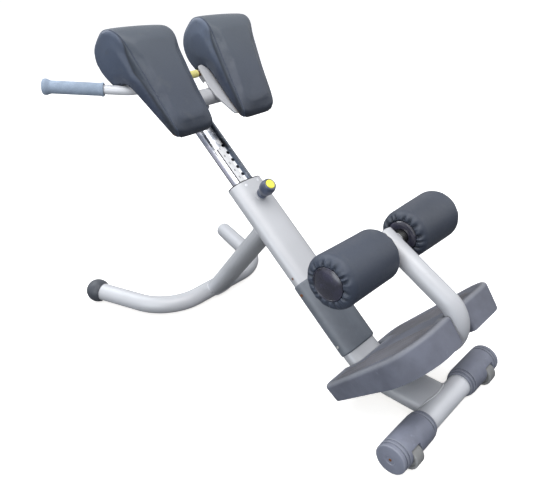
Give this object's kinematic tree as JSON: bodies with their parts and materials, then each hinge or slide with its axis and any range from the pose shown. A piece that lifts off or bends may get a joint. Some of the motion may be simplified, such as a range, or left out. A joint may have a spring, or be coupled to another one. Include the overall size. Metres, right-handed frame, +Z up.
{
  "type": "hyperextension bench",
  "caption": "Angled back-extension bench with split hip pads on a telescopic post, side handles, padded ankle rollers, a footplate and transport wheels.",
  "frame": {"origin": "floor level, in the middle of the bounding box's footprint", "axes": "+Z up; +Y along the bench from the foot end to the hip pads; +X across it, to the right of someone who faces +Y"},
  "size_m": [0.742, 1.1634, 0.8457],
  "materials": {
    "silver_paint": "satin light silver-grey paint",
    "chrome": "bright chrome",
    "grey_moulding": "matte blue-grey moulding",
    "wheel_grey": "matte grey wheel",
    "ball_cap": "dark grey moulded ball",
    "leatherette": "dark slate-grey leatherette over foam",
    "black_plastic": "black moulding",
    "disc_plastic": "glossy black disc",
    "knob_plastic": "dark grey knob",
    "yellow_plastic": "bright yellow plastic",
    "zinc_steel": "zinc-plated steel",
    "dark_steel": "blackened steel",
    "rusty_steel": "brown rust over steel",
    "grip_rubber": "blue-grey rubber",
    "plywood": "bare plywood"
  },
  "bodies": {
    "frame": {"main_tube": "silver_paint", "front_foot_bar": "silver_paint", "rear_foot_tube": "silver_paint", "rear_foot_plug_right": "silver_paint", "rear_strut": "silver_paint", "plunger_nut": "silver_paint", "roller_arm": "silver_paint", "roller_arm_plug": "silver_paint", "footplate_bracket": "silver_paint", "shin_cover": "grey_moulding", "footplate": "grey_moulding", "foot_sleeve_left": "grey_moulding", "foot_sleeve_right": "grey_moulding", "rear_foot_ball_left": "ball_cap", "top_bushing": "black_plastic", "roller_axle": "zinc_steel", "wheel_axle_left": "zinc_steel", "wheel_axle_right": "zinc_steel", "sleeve_screw_left": "zinc_steel", "sleeve_screw_right": "zinc_steel", "axle_screw_left": "zinc_steel", "axle_screw_right": "zinc_steel", "bushing_screw_left": "zinc_steel", "bushing_screw_right": "zinc_steel", "cover_screw_low_left": "zinc_steel", "cover_screw_low_right": "zinc_steel", "cover_screw_high_left": "zinc_steel", "cover_screw_high_right": "zinc_steel", "plunger_body": "dark_steel"},
    "carriage": {"post_tube": "chrome", "post_glide": "black_plastic", "post_saddle": "silver_paint", "cross_tube": "silver_paint", "lift_bar": "rusty_steel", "lift_bar_sleeve": "yellow_plastic", "cross_plug_left": "black_plastic", "cross_plug_right": "black_plastic", "pad_plate_left": "silver_paint", "pad_plate_right": "silver_paint", "pad_board_left": "plywood", "pad_board_right": "plywood", "hip_pad_left": "leatherette", "hip_pad_right": "leatherette", "handle_tube_left": "silver_paint", "handle_tube_right": "silver_paint", "grip_left": "grip_rubber", "grip_right": "grip_rubber"},
    "pull_pin": {"plunger_pin": "zinc_steel", "plunger_knob": "knob_plastic", "plunger_knob_cap": "yellow_plastic"},
    "roller_left_assembly": {"roller_foam_left": "leatherette", "roller_core_left": "black_plastic", "roller_disc_outer_left": "disc_plastic", "roller_disc_inner_left": "disc_plastic"},
    "wheel_left_assembly": {"wheel_left": "wheel_grey"},
    "roller_right_assembly": {"roller_foam_right": "leatherette", "roller_core_right": "black_plastic", "roller_disc_outer_right": "disc_plastic", "roller_disc_inner_right": "disc_plastic"},
    "wheel_right_assembly": {"wheel_right": "wheel_grey"}
  },
  "joints": [
    {"name": "carriage_slide", "type": "slide", "parent": "frame", "child": "carriage", "axis": [0, 0.7677, 0.6408], "range_m": [-0.175, 0.1]},
    {"name": "pull_pin_slide", "type": "slide", "parent": "frame", "child": "pull_pin", "axis": [0, -0.6408, 0.7677], "range_m": [0, 0.012], "stiffness_N_per_m": 600, "springref_m": -0.01},
    {"name": "roller_left_spin", "type": "hinge", "parent": "frame", "child": "roller_left_assembly", "pos_m": [-0.157, -0.35087, 0.42948], "axis": [1, 0, 0], "continuous": true},
    {"name": "wheel_left_spin", "type": "hinge", "parent": "frame", "child": "wheel_left_assembly", "pos_m": [-0.186, -0.5547, 0.029], "axis": [1, 0, 0], "continuous": true},
    {"name": "roller_right_spin", "type": "hinge", "parent": "frame", "child": "roller_right_assembly", "pos_m": [0.121, -0.35087, 0.42948], "axis": [1, 0, 0], "continuous": true},
    {"name": "wheel_right_spin", "type": "hinge", "parent": "frame", "child": "wheel_right_assembly", "pos_m": [0.186, -0.5547, 0.029], "axis": [1, 0, 0], "continuous": true}
  ]
}
